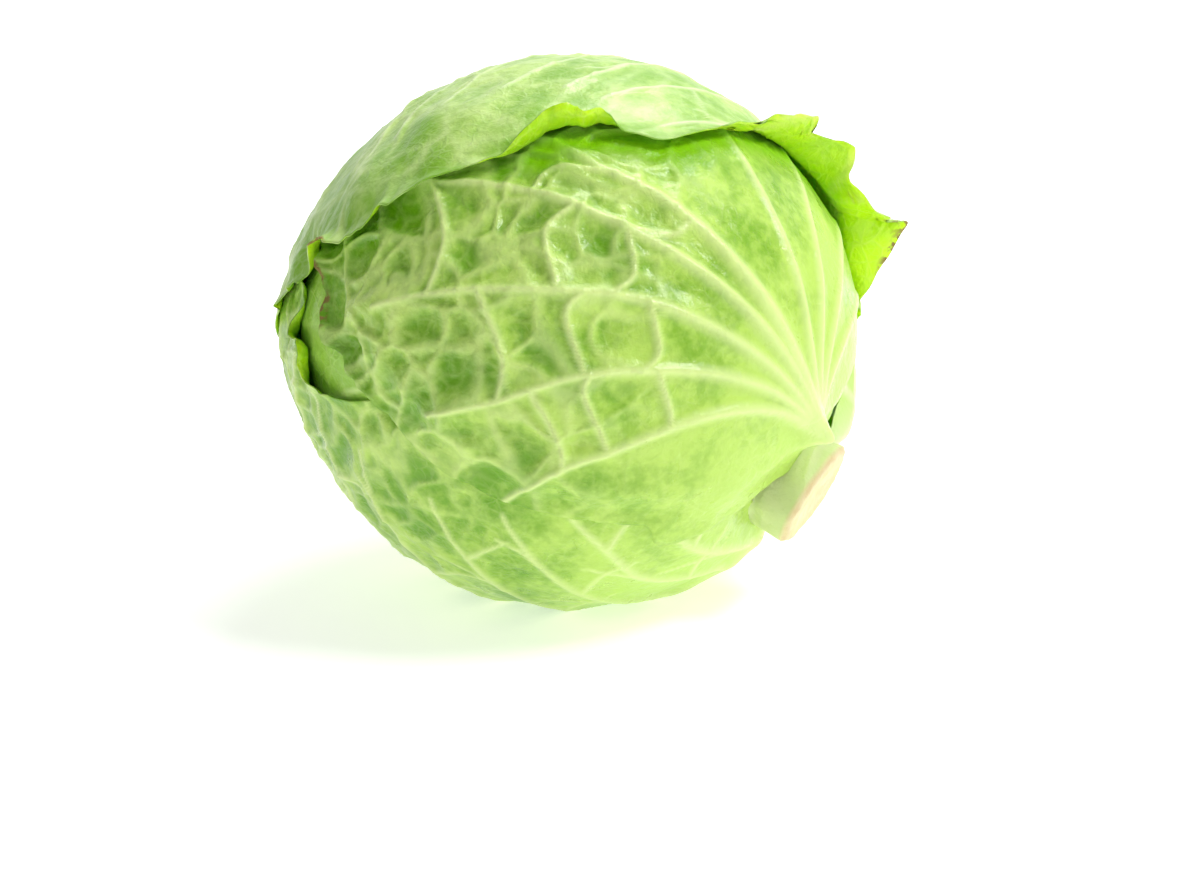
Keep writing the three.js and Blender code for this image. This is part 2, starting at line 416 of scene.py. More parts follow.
def spread_out(leaf, radius, angle):
    """Degrees up the leaf and across it, for a place on its disc."""
    x, y = radius * np.cos(angle), radius * np.sin(angle)
    up = leaf["base"] + (leaf["tip"] - leaf["base"]) / 2 * (1 + x)
    across = y * np.where(y > 0, along(leaf["forward"], x), along(leaf["rearward"], x))
    return up, across


def evened(leaf, radius, angle):
    """The disc's angles shifted so that its rim points lie evenly along the leaf's margin."""
    fine = np.linspace(0, 2 * math.pi, 2881)
    up, across = spread_out(leaf, np.ones_like(fine), fine)
    run = np.concatenate([[0], np.cumsum(np.hypot(np.diff(up), np.diff(across)))])
    angle = angle % (2 * math.pi)
    even = np.interp(angle, run * 2 * math.pi / run[-1], fine)
    return angle + (even - angle) * radius**2


def heading_of(leaf, up, across):
    """Heading from the middle of the head for degrees up the leaf and across it."""
    centre = direction(np.array(leaf["polar"], float), np.array(leaf["azimuth"], float))
    up_leaf = direction(np.array(leaf["polar"] + 90.0), np.array(leaf["azimuth"], float))
    across_leaf = np.cross(centre, up_leaf)
    arc, turn = np.radians(np.hypot(up, across))[..., None], np.arctan2(across, up)[..., None]
    return np.cos(arc) * centre + np.sin(arc) * (np.cos(turn) * up_leaf + np.sin(turn) * across_leaf)


def rounded(points, steps=5):
    """A smooth curve through points, as more points."""
    points = np.array(points, float)
    padded = np.concatenate([2 * points[:1] - points[1:2], points, 2 * points[-1:] - points[-2:-1]])
    share = np.linspace(0, 1, steps, endpoint=False)[:, None]
    curve = []
    for before, start, end, after in zip(padded, padded[1:], padded[2:], padded[3:]):
        curve.append(
            0.5
            * (
                2 * start
                + (end - before) * share
                + (2 * before - 5 * start + 4 * end - after) * share**2
                + (3 * start - before - 3 * end + after) * share**3
            )
        )
    return np.concatenate(curve + [points[-1:]])


def rib_field(leaf, places):
    """Height of the ribs over the blade, how much each point is rib, and distance to the nearest rib."""
    height = np.zeros(len(places))
    share = np.zeros(len(places))
    nearest = np.full(len(places), 1e3)
    for line, start_width, end_width, start_height, end_height in leaf["ribs"]:
        line = rounded(line)
        spine = heading_of(leaf, line[:, 0], line[:, 1]) * HEAD_RADIUS
        lengths = np.concatenate([[0], np.cumsum(np.linalg.norm(np.diff(spine, axis=0), axis=1))])
        best = np.full(len(places), 1e3)
        best_at = np.zeros(len(places))
        for i in range(len(spine) - 1):
            run = spine[i + 1] - spine[i]
            part = np.clip((places - spine[i]) @ run / (run @ run), 0, 1)
            gap = np.linalg.norm(places - spine[i] - part[:, None] * run, axis=1)
            closer = gap < best
            best = np.where(closer, gap, best)
            along_line = (lengths[i] + part * (lengths[i + 1] - lengths[i])) / lengths[-1]
            best_at = np.where(closer, along_line, best_at)
        width = start_width + (end_width - start_width) * best_at**0.7
        tall = start_height + (end_height - start_height) * best_at**0.7
        rise = tall * (0.75 * np.exp(-((best / width) ** 2)) + 0.25 * np.exp(-((best / (2.6 * width)) ** 2)))
        height = np.maximum(height, rise) + 0.25 * np.minimum(height, rise)
        share = np.maximum(share, np.exp(-((best / (1.15 * width)) ** 2)) * smoothstep(0, 0.5, tall))
        nearest = np.minimum(nearest, best - width)
    return height, share, np.maximum(nearest, 0)


def net_field(places, size, seed):
    """How far each point is from the border of its cell in a net of uneven cells, 0 at the border."""
    jitter = np.random.default_rng(seed).uniform(0.1, 0.9, (32, 32, 32, 3))
    bent = np.stack([rumple(places, size * 0.8, seed + k) for k in (1, 2, 3)], -1)
    shake = np.roll(rumple(places, size / 3, seed + 4)[..., None] * bent, 1, -1)
    scaled = places / size + 0.45 * bent + 0.1 * shake
    corner = np.floor(scaled).astype(int)
    first = np.full(len(places), 9.0)
    second = np.full(len(places), 9.0)
    for dx in (-1, 0, 1):
        for dy in (-1, 0, 1):
            for dz in (-1, 0, 1):
                cell = corner + (dx, dy, dz)
                x, y, z = cell.T % 32
                gap = np.linalg.norm(cell + jitter[x, y, z] - scaled, axis=1)
                second = np.minimum(second, np.maximum(first, gap))
                first = np.minimum(first, gap)
    return second - first


def branching(leaf, pairs, seed, stout=1.0):
    """A midrib and pairs of side ribs that leave it low down and bend towards the tip, each forked."""
    chance = np.random.default_rng(seed)
    base, tip = leaf["base"] + 6, leaf["tip"]
    lines = [([(base, 0), ((base + tip) / 3, chance.uniform(-2, 2)), (tip - 14, 0)], 5.0, 1.2, 3.2, 0.7)]
    for pair in range(pairs):
        for side in (1, -1):
            step = 0.02 + 0.6 * (pair + 0.25 * side) / pairs + 0.02 * chance.uniform(-1, 1)
            start = base + (tip - base) * step
            width = abs(along(leaf["forward" if side > 0 else "rearward"], np.array(0.2)))
            lean = (1.35 - 0.5 * pair / pairs) + chance.uniform(-0.08, 0.08)
            reach = 0.86 * min(width, 96) * (1 - 0.35 * (pair / pairs) ** 2)
            across = np.linspace(0, 1, 5)
            up = start + reach * across * (1.25 - lean * 0.75) + 16 * across**2 * (0.4 + pair / pairs)
            wave = chance.uniform(-2, 2, 5) * across
            line = [(u + w, side * reach * c) for u, w, c in zip(up, wave, across)]
            power = 1 - 0.45 * pair / pairs
            lines.append((line, 3.4 * power * stout, 0.8, 2.3 * power * stout, 0.45))
            for fork in (1, 2, 3):
                u, a = line[fork]
                way = 1 if (fork + pair) % 2 else -1
                span = (13 + 5 * chance.uniform(0, 1)) * (1.15 - fork * 0.15)
                bend = chance.uniform(-3, 3)
                end = (u + way * span, a + side * (span * 0.75 + bend))
                half = (u + way * span * 0.45, a + side * span * 0.5)
                lines.append(([(u, a), half, end], 1.3 * stout, 0.6, 0.9 * stout, 0.35))
    return lines


def support_under(headings, cells, fallback):
    """Reach of what is already laid, seen from outside along each heading, eased over sharp steps."""
    stride = 3 if cells > 60 else 1
    coarse = headings[::stride, ::stride]
    reach = np.full(coarse.shape[:2], fallback)
    far = 2 * HEAD_RADIUS
    for tree in laid:
        for i in range(coarse.shape[0]):
            for j in range(coarse.shape[1]):
                way = Vector(coarse[i, j])
                hit, _, _, gap = tree.ray_cast(way * far, -way)
                if hit is not None:
                    reach[i, j] = max(reach[i, j], far - gap)
    for _ in range(2):
        grown = np.pad(reach, 1, mode="edge")
        reach = np.maximum.reduce([grown[1 + i : grown.shape[0] - 1 + i, 1 + j : grown.shape[1] - 1 + j]
                                   for i in (-1, 0, 1) for j in (-1, 0, 1)])
    for _ in range(3):
        grown = np.pad(reach, 1, mode="edge")
        reach = sum(grown[1 + i : grown.shape[0] - 1 + i, 1 + j : grown.shape[1] - 1 + j]
                    for i in (-1, 0, 1) for j in (-1, 0, 1)) / 9
    rows = np.arange(headings.shape[0]) / stride
    low = np.minimum(rows.astype(int), reach.shape[0] - 2)
    part = rows - low
    tall = reach[low] * (1 - part)[:, None] + reach[low + 1] * part[:, None]
    return tall[:, low] * (1 - part) + tall[:, low + 1] * part


def leaf_faces(cells):
    """A blade's outer face in quads, its inner face in quads twice as wide, and the rim that joins them."""
    fine = np.arange((cells + 1) ** 2).reshape(cells + 1, cells + 1)
    wide = cells // 2 + 1
    coarse = fine.size + np.arange(wide**2).reshape(wide, wide)

    def quads(grid):
        return np.stack([grid[:-1, :-1], grid[1:, :-1], grid[1:, 1:], grid[:-1, 1:]], -1).reshape(-1, 4)

    def border(grid):
        return np.concatenate([grid[:-1, 0], grid[-1, :-1], grid[:0:-1, -1], grid[0, :0:-1]])

    above, below = border(fine), border(coarse)
    rim = np.stack([np.roll(above, -2)[::2], above[1::2], above[::2], below, np.roll(below, -1)], 1)
    return [quads(fine).tolist(), quads(coarse)[:, ::-1].tolist(), rim.tolist()]


def lay_leaf(leaf):
    """Builds one leaf over what is already laid, and keeps its outer face for the next to lie on."""
    cells = leaf["cells"]
    radius, angle = disc_grid(cells)
    angle = evened(leaf, radius, angle)
    rim_up, rim_across = spread_out(leaf, np.ones_like(angle), angle)
    mid_up, _ = spread_out(leaf, np.zeros(1), np.zeros(1))
    extent = np.hypot(rim_up - mid_up[0], rim_across) * DEGREE
    forward = rim_across > 0
    edge = leaf.get("forward_edge", [(-90, 0.3, 0, 0.4), (120, 0.3, 0, 0.4)])
    back_edge = leaf.get("rearward_edge", [(-90, 0.3, 0, 0.4), (120, 0.3, 0, 0.4)])

    def on_edge(column):
        front_values = along([(row[0], row[column]) for row in edge], rim_up)
        back_values = along([(row[0], row[column]) for row in back_edge], rim_up)
        return np.where(forward, front_values, back_values)

    stand, roll, ruffle = on_edge(1), np.radians(on_edge(2)), on_edge(3)
    rim_heading = heading_of(leaf, rim_up, rim_across) * HEAD_RADIUS
    ragged = 1 + (0.003 + 0.0075 * ruffle) * (
        rumple(rim_heading, 9, leaf["seed"]) + 0.5 * rumple(rim_heading, 3, leaf["seed"] + 1)
    )
    inward = (1 - radius) * extent
    roll_width = leaf.get("roll_width", 7.0)
    into = np.maximum(roll_width - inward, 0)
    bend = np.where(abs(roll) < 0.02, 0.02, roll) / roll_width
    advance = np.sin(bend * into) / bend
    rise = (1 - np.cos(bend * into)) / bend
    radius = np.where(into > 0, 1 - (roll_width - advance) / extent, radius) * (1 + (ragged - 1) * radius**4)
    up, across = spread_out(leaf, radius, angle)
    headings = heading_of(leaf, up, across)
    places = headings.reshape(-1, 3) * HEAD_RADIUS
    shape = radius.shape

    nominal = HEAD_RADIUS - leaf["inset"] + leaf.get("fuller", 0)
    reach = np.full(shape, nominal)
    for swell in leaf.get("swells", []):
        away = np.hypot(up - swell["up"], across - swell["across"]) / swell["spread"]
        reach = reach + swell["lift"] * np.exp(-(away**2))
    reach = reach - TOP_FLATTENING * smoothstep(0.25, 0.95, headings[..., 2])
    support = support_under(headings, cells, nominal - leaf["pitch"] - TOP_FLATTENING)

    height, share, nearest = rib_field(leaf, places)
    height, share, nearest = (field.reshape(shape) for field in (height, share, nearest))
    polar = np.degrees(np.arccos(np.clip(headings @ stalk_axis, -1, 1)))
    far_part = smoothstep(45, 105, polar)
    pucker = leaf.get("pucker", 0.5) * (0.25 + 0.75 * far_part)
    if "calm" in leaf:
        pucker = pucker * leaf["calm"](up, across)
    cells_near = net_field(places, leaf.get("net", 13), leaf["seed"] + 20).reshape(shape)
    cells_small = net_field(places, 7, leaf["seed"] + 30).reshape(shape)
    hills = rumple(places, 17, leaf["seed"] + 40).reshape(shape)
    creases = rumple(places, 5, leaf["seed"] + 50).reshape(shape)
    fine = rumple(places, 2.4, leaf["seed"] + 60).reshape(shape)
    sag = smoothstep(0, 8, nearest)
    third_rib = np.exp(-((cells_near / 0.17) ** 2)) * smoothstep(0.1, 1.0, pucker)
    fourth_rib = np.exp(-((cells_small / 0.2) ** 2)) * smoothstep(0.3, 1.4, pucker)
    hollow = 0.7 * smoothstep(0, 0.7, cells_near) + 0.1 * smoothstep(0, 0.6, cells_small)
    relief = (
        -pucker * (sag * 0.8 + hollow * (0.6 + 0.6 * sag))
        + pucker * (0.45 * hills + 0.45 * creases * abs(creases) + 0.1 * fine)
        + 0.75 * third_rib
        + 0.15 * fourth_rib
    )
    quiet_rim = smoothstep(0, 5, inward)
    waves = (
        rumple(rim_heading, 11, leaf["seed"] + 70) + 0.45 * rumple(rim_heading, 4.5, leaf["seed"] + 80)
    ) * ruffle * np.exp(-inward / 8) * 1.6
    lowest = support + BLADE + 0.25
    onto = smoothstep(leaf.get("tuck", 16), 2, inward)
    closed = lowest + stand * np.clip(1 - inward / leaf.get("flare", 16), 0, 1) ** 1.6
    open_reach = np.maximum(reach, lowest)
    reach = open_reach * (1 - onto) + np.maximum(closed, reach * (stand > 3)) * onto
    reach = reach + relief * (0.35 + 0.65 * quiet_rim) + height * (0.3 + 0.7 * quiet_rim)
    reach = np.maximum(reach + waves + rise, lowest)
    floor_reach = (MIDDLE_HEIGHT - leaf["floor"]) / np.maximum(-headings[..., 2], 1e-6)
    reach = np.minimum(reach, floor_reach)
    outer = headings * reach[..., None]

    # The inner face follows the outer one a blade's thickness in, thicker along the ribs.
    run_up = np.gradient(outer, axis=0)
    run_across = np.gradient(outer, axis=1)
    normal = np.cross(run_up, run_across)
    normal /= np.maximum(np.linalg.norm(normal, axis=-1), 1e-9)[..., None]
    if (normal * headings).sum(-1).mean() < 0:
        normal = -normal
    thick = BLADE + 0.75 * height * smoothstep(3, 9, inward)
    thick = thick * (0.45 + 0.55 * smoothstep(0, 3, inward))
    blend_way = smoothstep(6, 16, inward)[..., None]
    inward_way = normal * (1 - blend_way) + headings * blend_way
    inner = outer - inward_way / np.linalg.norm(inward_way, axis=-1)[..., None] * thick[..., None]
    outer[..., 2] = np.maximum(outer[..., 2], leaf["floor"] - MIDDLE_HEIGHT)
    inner[..., 2] = np.maximum(inner[..., 2], leaf["floor"] - MIDDLE_HEIGHT + 0.5 * BLADE)

    points = np.concatenate([outer.reshape(-1, 3), inner[::2, ::2].reshape(-1, 3)]) + middle
    kinds = leaf_faces(cells)
    insides = np.repeat([0, 1, 0], [len(kind) for kind in kinds])
    corner = points[kinds[0][cells * cells // 2]]
    if np.cross(corner[1] - corner[0], corner[3] - corner[0]) @ (corner[0] - middle) < 0:
        kinds = [[face[::-1] for face in kind] for kind in kinds]
    # Painted shade: how deep each pucker's hollow is, which darkens the skin's green there.
    painted_hollow_shade = np.clip(-relief / (0.4 + 1.1 * leaf.get("pucker", 0.5)), 0, 1)
    # Painted shade: a band along an overlying leaf's edge where the skin is tinted deep, saturated green in
    # place of the shadow that edge casts.
    painted_edge_shade = np.zeros(shape)
    for edge_heading in leaf.get("painted_edge_shade", []):
        gap = np.degrees(np.arccos(np.clip(headings @ edge_heading, -1, 1)))
        painted_edge_shade = np.maximum(painted_edge_shade, np.exp(-((gap / EDGE_SHADE) ** 2)))
    dry = np.zeros(shape)
    for spot in leaf.get("dry", []):
        away = np.hypot(up - spot["up"], across - spot["across"]) / spot["spread"]
        dry = np.maximum(dry, np.exp(-(away**2)) * smoothstep(spot["width"], 0, inward))
    near_base = smoothstep(75, 20, polar)
    veins = np.maximum(share, np.maximum(0.5 * third_rib, 0.2 * fourth_rib))
    layers = {"rib": veins, "hollow": painted_hollow_shade, "dry": dry, "base": near_base, "painted_edge_shade": painted_edge_shade}
    for layer, values in layers.items():
        layers[layer] = np.concatenate([values.ravel(), values[::2, ::2].ravel()])
    piece = make_piece(leaf["name"] + "_blade", points, sum(kinds, []), layers, insides)
    laid.append(BVHTree.FromPolygons(outer.reshape(-1, 3).tolist(), kinds[0]))
    return piece


def leaf_material(name, deep, light, rib, glossy, net_strength, glow, painted_edge_shade="86c600", dry_tint="8f7a40"):
    """Leaf skin: mottled green, with painted shade making it deeper green in the hollows, paler ribs, a fine
    net of veins, a deep green band of painted shade along an overlying leaf's edge, and a thin wax.
    """
    recipe = Recipe(name)
    shaken = recipe.shaken(7, 3.5)
    mottle = recipe.fit(recipe.noise(22, 4), 0.32, 0.68)
    freckle = recipe.fit(recipe.noise(3.2, 5), 0.35, 0.7)
    paleness = recipe.maths("MULTIPLY_ADD", mottle, 0.55, 0.2)
    paleness = recipe.maths("MULTIPLY_ADD", freckle, 0.25, paleness)
    # Painted shade: the hollows are pushed towards the deep green.
    paleness = recipe.maths("MULTIPLY_ADD", recipe.layer("hollow"), -0.48, paleness)
    paleness = recipe.maths("MULTIPLY_ADD", recipe.layer("base"), 0.55, paleness)
    colour = recipe.mix(recipe.fit(paleness, 0.0, 1.0), tint(deep), tint(light))
    small_net = recipe.fit(recipe.net(4.6, shaken), 0.0, 0.16, 1.0, 0.0)
    tiny_net = recipe.fit(recipe.net(1.9, shaken), 0.0, 0.2, 1.0, 0.0)
    nets = recipe.maths("MAXIMUM", small_net, recipe.maths("MULTIPLY", tiny_net, 0.4))
    uneven = recipe.fit(recipe.noise(16), 0.35, 0.65, 0.2 * net_strength, net_strength)
    nets = recipe.maths("MULTIPLY", nets, uneven)
    pale = recipe.maths("MAXIMUM", recipe.maths("MULTIPLY", recipe.layer("rib"), 0.82), nets)
    colour = recipe.mix(pale, colour, tint(rib))
    # Painted shade: the band along an overlying leaf's edge takes a deep, saturated green.
    colour = recipe.mix(recipe.maths("MULTIPLY", recipe.layer("painted_edge_shade"), 0.97), colour, tint(painted_edge_shade))
    withered = recipe.maths("MULTIPLY", recipe.layer("dry"), recipe.fit(recipe.noise(2.2, 4), 0.3, 0.6))
    withered = recipe.fit(withered, 0.15, 0.5)
    colour = recipe.mix(withered, colour, tint(dry_tint))
    recipe.feed(recipe.skin.inputs["Base Color"], colour)
    rough = recipe.fit(recipe.noise(9, 4), 0.3, 0.7, glossy, glossy + 0.16)
    rough = recipe.maths("MULTIPLY_ADD", withered, 0.3, rough)
    recipe.feed(recipe.skin.inputs["Roughness"], rough)
    wrinkles = recipe.bump(recipe.noise(3.0, 5, shaken), 0.55)
    grain = recipe.bump(recipe.noise(0.6, 2), 0.06, wrinkles)
    recipe.feed(recipe.skin.inputs["Normal"], recipe.bump(nets, 0.5, grain))
    recipe.skin.inputs["Specular IOR Level"].default_value = 0.32
    recipe.skin.inputs["Coat Weight"].default_value = 0.14
    recipe.skin.inputs["Coat Roughness"].default_value = 0.17
    recipe.glow(glow, 1.3, (0.6, 1.0, 0.1))
    return recipe.material


def finish_leaf(leaf, outside, inside):
    piece = lay_leaf(leaf)
    piece.data.materials.append(outside)
    piece.data.materials.append(inside)
    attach(piece, "root")
    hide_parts(leaf["name"])
    return piece


INNER_OUTLINE = [(-1, 150), (-0.7, 92), (0, 74), (1, 70)]
FIRST_INNER_AZIMUTH = 85
inner_materials = [
    leaf_material("pale inner leaf", "c9d76a", "e6eb9a", "f1f3c4", 0.34, 0.3, 0.2),
    leaf_material("green inner leaf", "8cc030", "b2dc62", "d0e890", 0.34, 0.3, 0.2),
]
for order in reversed(range(INNER_COUNT)):
    shown = order < 2
    leaf = {
        "name": f"inner_leaf_{order + 1:02d}",
        "polar": 88,
        "azimuth": FIRST_INNER_AZIMUTH + order * SPIRAL_STEP,
        "base": -75,
        "tip": 84,
        "forward": INNER_OUTLINE,
        "rearward": INNER_OUTLINE,
        "inset": 3 * WRAPPER_PITCH + (order + 1) * INNER_PITCH,
        "pitch": INNER_PITCH,
        "floor": (order + 1) * (INNER_PITCH - FLATTENING_LOSS) + WRAPPER_PITCH - FLATTENING_LOSS,
        "cells": 120 if shown else 60,
        "seed": 100 + order,
        "pucker": 0.35,
        "swells": [{"up": 45, "across": 12, "spread": 22, "lift": 7}] if order == 0 else [],
    }
    leaf["ribs"] = branching(leaf, 6 if shown else 5, 200 + order, 0.5)
    skin = inner_materials[1 if shown else 0]
    finish_leaf(leaf, skin, skin)

# ---------------------------------------------------------------------------------------------
# Back leaf. The first of the four big wrapper leaves to be laid: it covers the back of the head.
# Firm, light green, with a stout midrib and ribs that stand out of its outer face.
# ---------------------------------------------------------------------------------------------
wrapper_outside = leaf_material("wrapper leaf", "68a200", "b9dd60", "def09e", 0.26, 0.14, 0.08)
# Inner face: bright, saturated yellow-green, partly the inner side's own greener colour and partly painted
# light that stands in for light shining through the thin leaf.
wrapper_inside_painted_glow = leaf_material("wrapper leaf inside", "a4d800", "ccf600", "dcf670", 0.36, 0.3, 0.2)
back_leaf = {
    "name": "back_leaf",
    "polar": 86,
    "azimuth": -104,
    "base": -74,
    "tip": 76,
    "forward": [(-1, 150), (-0.7, 90), (0, 72), (1, 66)],
    "rearward": [(-1, 150), (-0.7, 90), (0, 70), (1, 66)],
    "inset": 3 * WRAPPER_PITCH,
    "pitch": WRAPPER_PITCH,
    "floor": WRAPPER_PITCH - FLATTENING_LOSS,
    "cells": 190,
    "seed": 310,
    "pucker": 0.6,
}
back_leaf["ribs"] = branching(back_leaf, 7, 311)
finish_leaf(back_leaf, wrapper_outside, wrapper_inside_painted_glow)

# ---------------------------------------------------------------------------------------------
# Under leaf. The head lies on it, which has pressed a small flat spot into it. Its edge comes
# round the left side, where it curls outwards in ragged lobes.
# ---------------------------------------------------------------------------------------------
under_leaf = {
    "name": "under_leaf",
    "polar": 85,
    "azimuth": 172,
    "base": -79,
    "tip": 88,
    "forward": [(-1, 150), (-0.7, 90), (0, 62), (1, 60)],
    "rearward": [(-1, 150), (-0.7, 98), (0, 82), (0.45, 62), (0.55, 70), (0.6, 65), (0.7, 80), (1, 80)],
    "swells": [{"up": 60, "across": -34, "spread": 20, "lift": 6}],
    "inset": 2 * WRAPPER_PITCH,
    "pitch": WRAPPER_PITCH,
    "floor": 0,
    "cells": 210,
    "seed": 320,
    "pucker": 0.7,
    "rearward_edge": [
        (-90, 0.3, 0, 0.4), (20, 0.5, 0, 0.6), (40, 1, 25, 1.5), (50, 1.2, 55, 2.4), (57, 0.8, 10, 1.6),
        (65, 1.5, 45, 2.4), (75, 1, 10, 1.2), (88, 1, 0, 0.8),
    ],
}
under_leaf["ribs"] = branching(under_leaf, 7, 321)
finish_leaf(under_leaf, wrapper_outside, wrapper_inside_painted_glow)

# ---------------------------------------------------------------------------------------------
# Front leaf. The big leaf that faces the viewer. Its ribs run together low on the right, where
# they are thick and pale, and fan out over the blade, with kinked veins across between them. The
# blade is smooth at their foot and puckers more and more towards the left and the bottom.
# ---------------------------------------------------------------------------------------------
FAN_FOOT = (-60, 5)
FAN_POINTS = 7
MIDRIB_TURN, MIDRIB_REACH = 4, 112
FORWARD_FAN = 4
FORWARD_STEP = 15
FORWARD_REACH, FORWARD_LOSS = 122, 14
REARWARD_FAN = 4
REARWARD_START, REARWARD_STEP = -26, 19
REARWARD_REACH, REARWARD_LOSS = 98, 8
RUNGS = 3
FIRST_RUNG, RUNG_STEP = 0.46, 0.17
RUNG_SLANT = 0.05


def fan_rib(turn, reach, chance):
    """A rib that leaves the foot beside the midrib and opens quickly to its own turn, in degrees."""
    share = np.linspace(0, 1, FAN_POINTS)
    opened = np.radians(turn) * share**0.25 + chance.uniform(-0.03, 0.03, FAN_POINTS) * share
    return np.stack([FAN_FOOT[0] + reach * share * np.cos(opened),
                     FAN_FOOT[1] + reach * share * np.sin(opened)], 1)


def rung(inner, outer, share, kink):
    """A kinked cross vein from one rib to the next, a share of the way along them."""
    marks = np.linspace(0, 1, FAN_POINTS)
    start = np.array([np.interp(share, marks, inner[:, k]) for k in (0, 1)])
    end = np.array([np.interp(share + RUNG_SLANT, marks, outer[:, k]) for k in (0, 1)])
    return [start, start + (end - start) * 0.5 + (kink, 0), end]


def fanned(seed):
    """A midrib and ribs that run together at the leaf's foot, with cross veins between the forward ones."""
    chance = np.random.default_rng(seed)
    midrib = fan_rib(MIDRIB_TURN, MIDRIB_REACH, chance)
    lines = [(midrib, 3.8, 1.1, 3.8, 1.1)]
    fan = [midrib]
    for order in range(FORWARD_FAN):
        reach = FORWARD_REACH - FORWARD_LOSS * order
        fan.append(fan_rib(FORWARD_STEP * (order + 1), reach, chance))
        lines.append((fan[-1], 2.7 - 0.15 * order, 1.0, 3.4 - 0.25 * order, 1.4))
    for order in range(REARWARD_FAN):
        reach = REARWARD_REACH - REARWARD_LOSS * order
        outwards = fan_rib(REARWARD_START - REARWARD_STEP * order, reach, chance)
        lines.append((outwards, 2.3, 0.9, 2.1, 0.5))
    for inner, outer in zip(fan, fan[1:]):
        for step in range(RUNGS):
            share = FIRST_RUNG + RUNG_STEP * step + chance.uniform(-0.05, 0.05)
            kink = 5 if step % 2 else -4
            lines.append((rung(inner, outer, share, kink), 1.3, 1.0, 2.0, 1.5))
    return lines


# The top leaf's outline is set here, because the front leaf gets a deep green band of painted shade along its
# edge.
top_outline = {
    "polar": 92,
    "azimuth": -66,
    "base": -82,
    "tip": 126,
    "forward": [(-1, 15), (-0.75, 15), (-0.5, 40), (-0.25, 90), (0.25, 105), (1, 120)],
    "rearward": [(-1, 25), (-0.6, 30), (-0.3, 42), (0, 50), (0.5, 58), (1, 80)],
}


def edge_headings(outline, lowest, highest):
    """Headings along the forward edge of an outline, between two places up its leaf."""
    angle = np.linspace(0, math.pi, 181)
    up, across = spread_out(outline, np.ones_like(angle), angle)
    inside = (up > lowest) & (up < highest)
    return heading_of(outline, up[inside], across[inside])


front_leaf = {
    "name": "front_leaf",
    "polar": 80,
    "azimuth": 22,
    "base": -70,
    "tip": 80,
    "forward": [(-1, 130), (-0.75, 80), (0.5, 80), (1, 72)],
    "rearward": [(-1, 130), (-0.75, 90), (0, 76), (1, 70)],
    "inset": WRAPPER_PITCH,
    "pitch": WRAPPER_PITCH,
    "fuller": 2.8,
    "floor": 0,
    "cells": 270,
    "seed": 330,
    "pucker": 1.6,
    "net": 16,
    # A band of painted shade follows the top leaf's front edge over this leaf.
    "painted_edge_shade": edge_headings(top_outline, -40, 24),
    "forward_edge": [
        (-90, 0.2, 0, 0.4), (10, 0.3, 0, 0.6), (36, 0.6, 10, 1.8), (42, 0.8, 30, 2.6), (48, 1.2, 70, 2.8),
        (54, 1.0, 20, 2.4), (62, 0.8, 40, 2.0), (80, 0.4, 0, 0.8),
    ],
    "dry": [
        {"up": 50, "across": 61, "spread": 5, "width": 3},
        {"up": 60, "across": 55, "spread": 4, "width": 2.5},
    ],
    "calm": lambda up, across: 0.35 + 0.65 * smoothstep(-18, 30, up * 0.75 + across * 0.8),
}
front_leaf["ribs"] = fanned(331)
finish_leaf(front_leaf, wrapper_outside, wrapper_inside_painted_glow)

# ---------------------------------------------------------------------------------------------
# Top wrapper leaf. The outermost leaf: it lies over the top and the left of the head. Its front
# edge is ruffled, curls up in two places, and ends on the right in a flap that stands away and
# shows its inner side, bright green partly of its own colour and partly painted light shining
# through the leaf, with a dry brown edge.
# ---------------------------------------------------------------------------------------------
top_wrapper = {
    "name": "top_wrapper_leaf",
    **top_outline,
    "swells": [{"up": -30, "across": 30, "spread": 14, "lift": 3}],
    "flare": 20,
    "fuller": 1,
    "inset": 0,
    "pitch": WRAPPER_PITCH,
    "floor": 0,
    "cells": 270,
    "seed": 340,
    "pucker": 0.55,
    "net": 19,
    "roll_width": 9.0,
    "forward_edge": [
        (-70, 0.4, 0, 0.5), (-50, 1, 0, 2.5), (-40, 13, 20, 6.0), (-32, 9, 10, 6.0), (-25, 15, 30, 6.0),
        (-17, 5, 60, 4.0), (-13, 3, 0, 0.3), (3, 3, 0, 0.3), (12, 3, 110, 3.5), (24, 2.5, 150, 2.5),
        (36, 1.5, 50, 0.8), (60, 1, 30, 0.5), (90, 0.8, 30, 2.0), (110, 1.2, 50, 3.2), (126, 0.4, 20, 1.6),
    ],
    "dry": [
        {"up": -44, "across": 24, "spread": 5, "width": 2.5},
        {"up": 108, "across": 62, "spread": 8, "width": 2.5},
    ],
}
top_wrapper["ribs"] = branching(top_wrapper, 9, 341, 0.5)
waxy_outside = leaf_material("waxy wrapper leaf", "80b626", "c2e27c", "e0f2b6", 0.33, 0.16, 0.08)
finish_leaf(top_wrapper, waxy_outside, wrapper_inside_painted_glow)

# ---------------------------------------------------------------------------------------------
# Studio. A plain white sweep of paper under and behind the head, an even white surround, three
# soft lamps above, to the right and in front, and the camera, which looks a little down on the head.
# ---------------------------------------------------------------------------------------------
scene = bpy.context.scene
scene.view_settings.view_transform = "Standard"


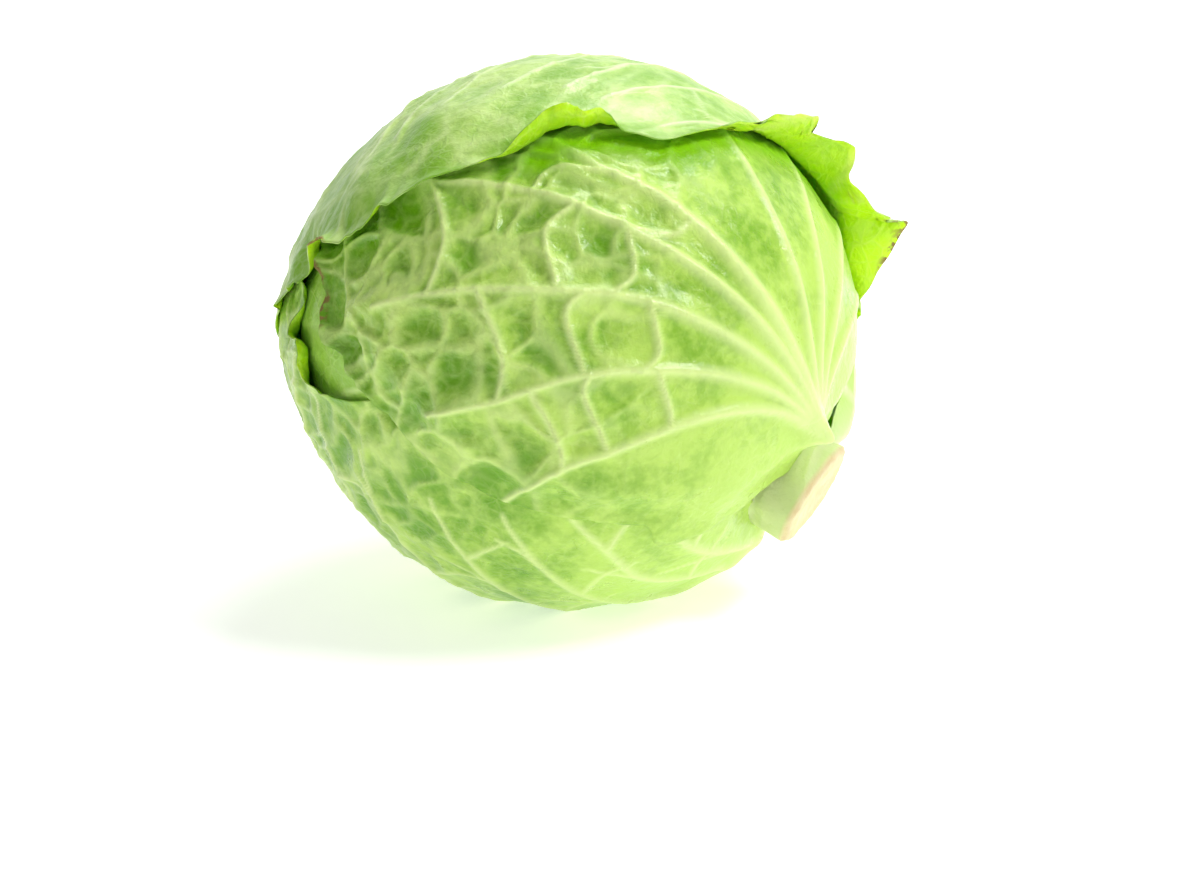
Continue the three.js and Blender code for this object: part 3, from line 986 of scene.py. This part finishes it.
def paper_sweep():
    half, depth, rise, bend = 3.0, 1.6, 2.5, 0.8
    line = [(-2.2, 0.0)] + [
        (depth + bend * math.sin(t), bend * (1 - math.cos(t))) for t in np.linspace(0, math.pi / 2, 13)
    ] + [(depth + bend, rise)]
    points = [(side * half, y, z) for y, z in line for side in (-1, 1)]
    faces = [(2 * i, 2 * i + 1, 2 * i + 3, 2 * i + 2) for i in range(len(line) - 1)]
    mesh = bpy.data.meshes.new("paper_sweep")
    mesh.from_pydata(points, [], faces)
    mesh.shade_smooth()
    paper = bpy.data.objects.new("paper_sweep", mesh)
    scene.collection.objects.link(paper)
    recipe = Recipe("white paper")
    recipe.skin.inputs["Base Color"].default_value = (0.92, 0.92, 0.92, 1)
    recipe.skin.inputs["Roughness"].default_value = 0.8
    recipe.skin.inputs["Emission Color"].default_value = (1, 1, 1, 1)
    recipe.skin.inputs["Emission Strength"].default_value = 0.5
    mesh.materials.append(recipe.material)


def soft_lamp(name, place, target, size, power):
    lamp = bpy.data.lights.new(name, "AREA")
    lamp.shape = "DISK"
    lamp.size = size
    lamp.energy = power
    holder = bpy.data.objects.new(name, lamp)
    holder.location = place
    holder.rotation_euler = (Vector(target) - Vector(place)).to_track_quat("-Z", "Y").to_euler()
    scene.collection.objects.link(holder)


paper_sweep()
world = bpy.data.worlds.new("white surround")
world.use_nodes = True
world.node_tree.nodes["Background"].inputs["Color"].default_value = (1, 1, 1, 1)
world.node_tree.nodes["Background"].inputs["Strength"].default_value = 0.31
scene.world = world
head_middle = (0, 0, MIDDLE_HEIGHT * MM)
soft_lamp("key lamp", (0.7, -0.3, 1.0), head_middle, 0.36, 8.6)
soft_lamp("front lamp", (-0.5, -1.1, 0.75), head_middle, 0.5, 1.3)
soft_lamp("top lamp", (0.3, 0.55, 1.1), head_middle, 0.6, 7.5)

CAMERA_TILT = math.radians(18)
CAMERA_DISTANCE = 1.044
LENS = 100
across_aim, down_aim = 0.0074, -0.0339
view_up = Vector((0, math.sin(CAMERA_TILT), math.cos(CAMERA_TILT)))
view_back = Vector((0, -math.cos(CAMERA_TILT), math.sin(CAMERA_TILT)))
aim = Vector(head_middle) + Vector((across_aim, 0, 0)) + view_up * down_aim
camera_data = bpy.data.cameras.new("studio camera")
camera_data.lens = LENS
camera_data.sensor_width = 36
camera = bpy.data.objects.new("studio camera", camera_data)
camera.location = aim + view_back * CAMERA_DISTANCE
camera.rotation_euler = (-view_back).to_track_quat("-Z", "Y").to_euler()
scene.collection.objects.link(camera)
scene.camera = camera
